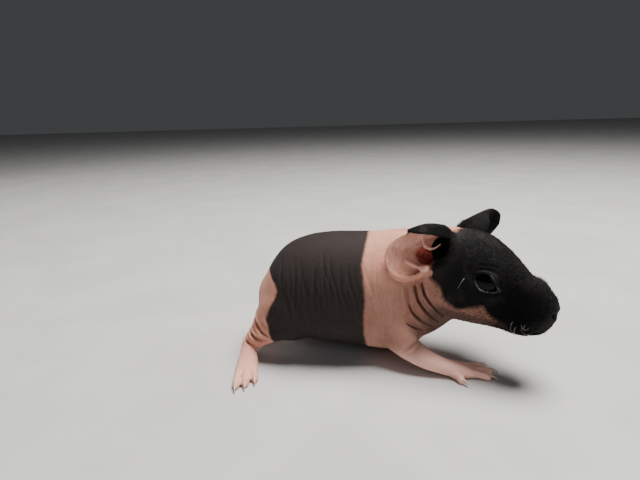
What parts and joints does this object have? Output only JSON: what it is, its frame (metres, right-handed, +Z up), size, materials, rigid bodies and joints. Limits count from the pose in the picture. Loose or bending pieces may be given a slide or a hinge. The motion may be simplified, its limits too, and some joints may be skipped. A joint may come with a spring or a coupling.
{
  "type": "skinny pig",
  "caption": "Life-size still model of a hairless guinea pig pup stepping forward with its head turned to its right, resting on the flats of its four feet.",
  "frame": {"origin": "on the floor under the middle of the bounding box, level with the soles", "axes": "+X towards the head along the body, +Y towards the animal's left, +Z up"},
  "size_m": [0.1221, 0.0665, 0.0595],
  "materials": {
    "saddle_skin": "matt",
    "pale_skin": "matt",
    "head_skin": "matt",
    "ear_skin": "matt",
    "leg_skin": "matt",
    "foot_skin": "matt",
    "eye": "wet gloss"
  },
  "bodies": {
    "root": {"torso": "saddle_skin", "neck": "pale_skin", "head": "head_skin", "ear_left": "ear_skin", "ear_right": "ear_skin", "eye_left": "eye", "eye_right": "eye", "foreleg_left": "pale_skin", "foreleg_right": "pale_skin", "forefoot_left": "foot_skin", "forefoot_right": "foot_skin", "hindleg_left": "leg_skin", "hindleg_right": "leg_skin", "hindfoot_left": "foot_skin", "hindfoot_right": "foot_skin"}
  },
  "joints": []
}
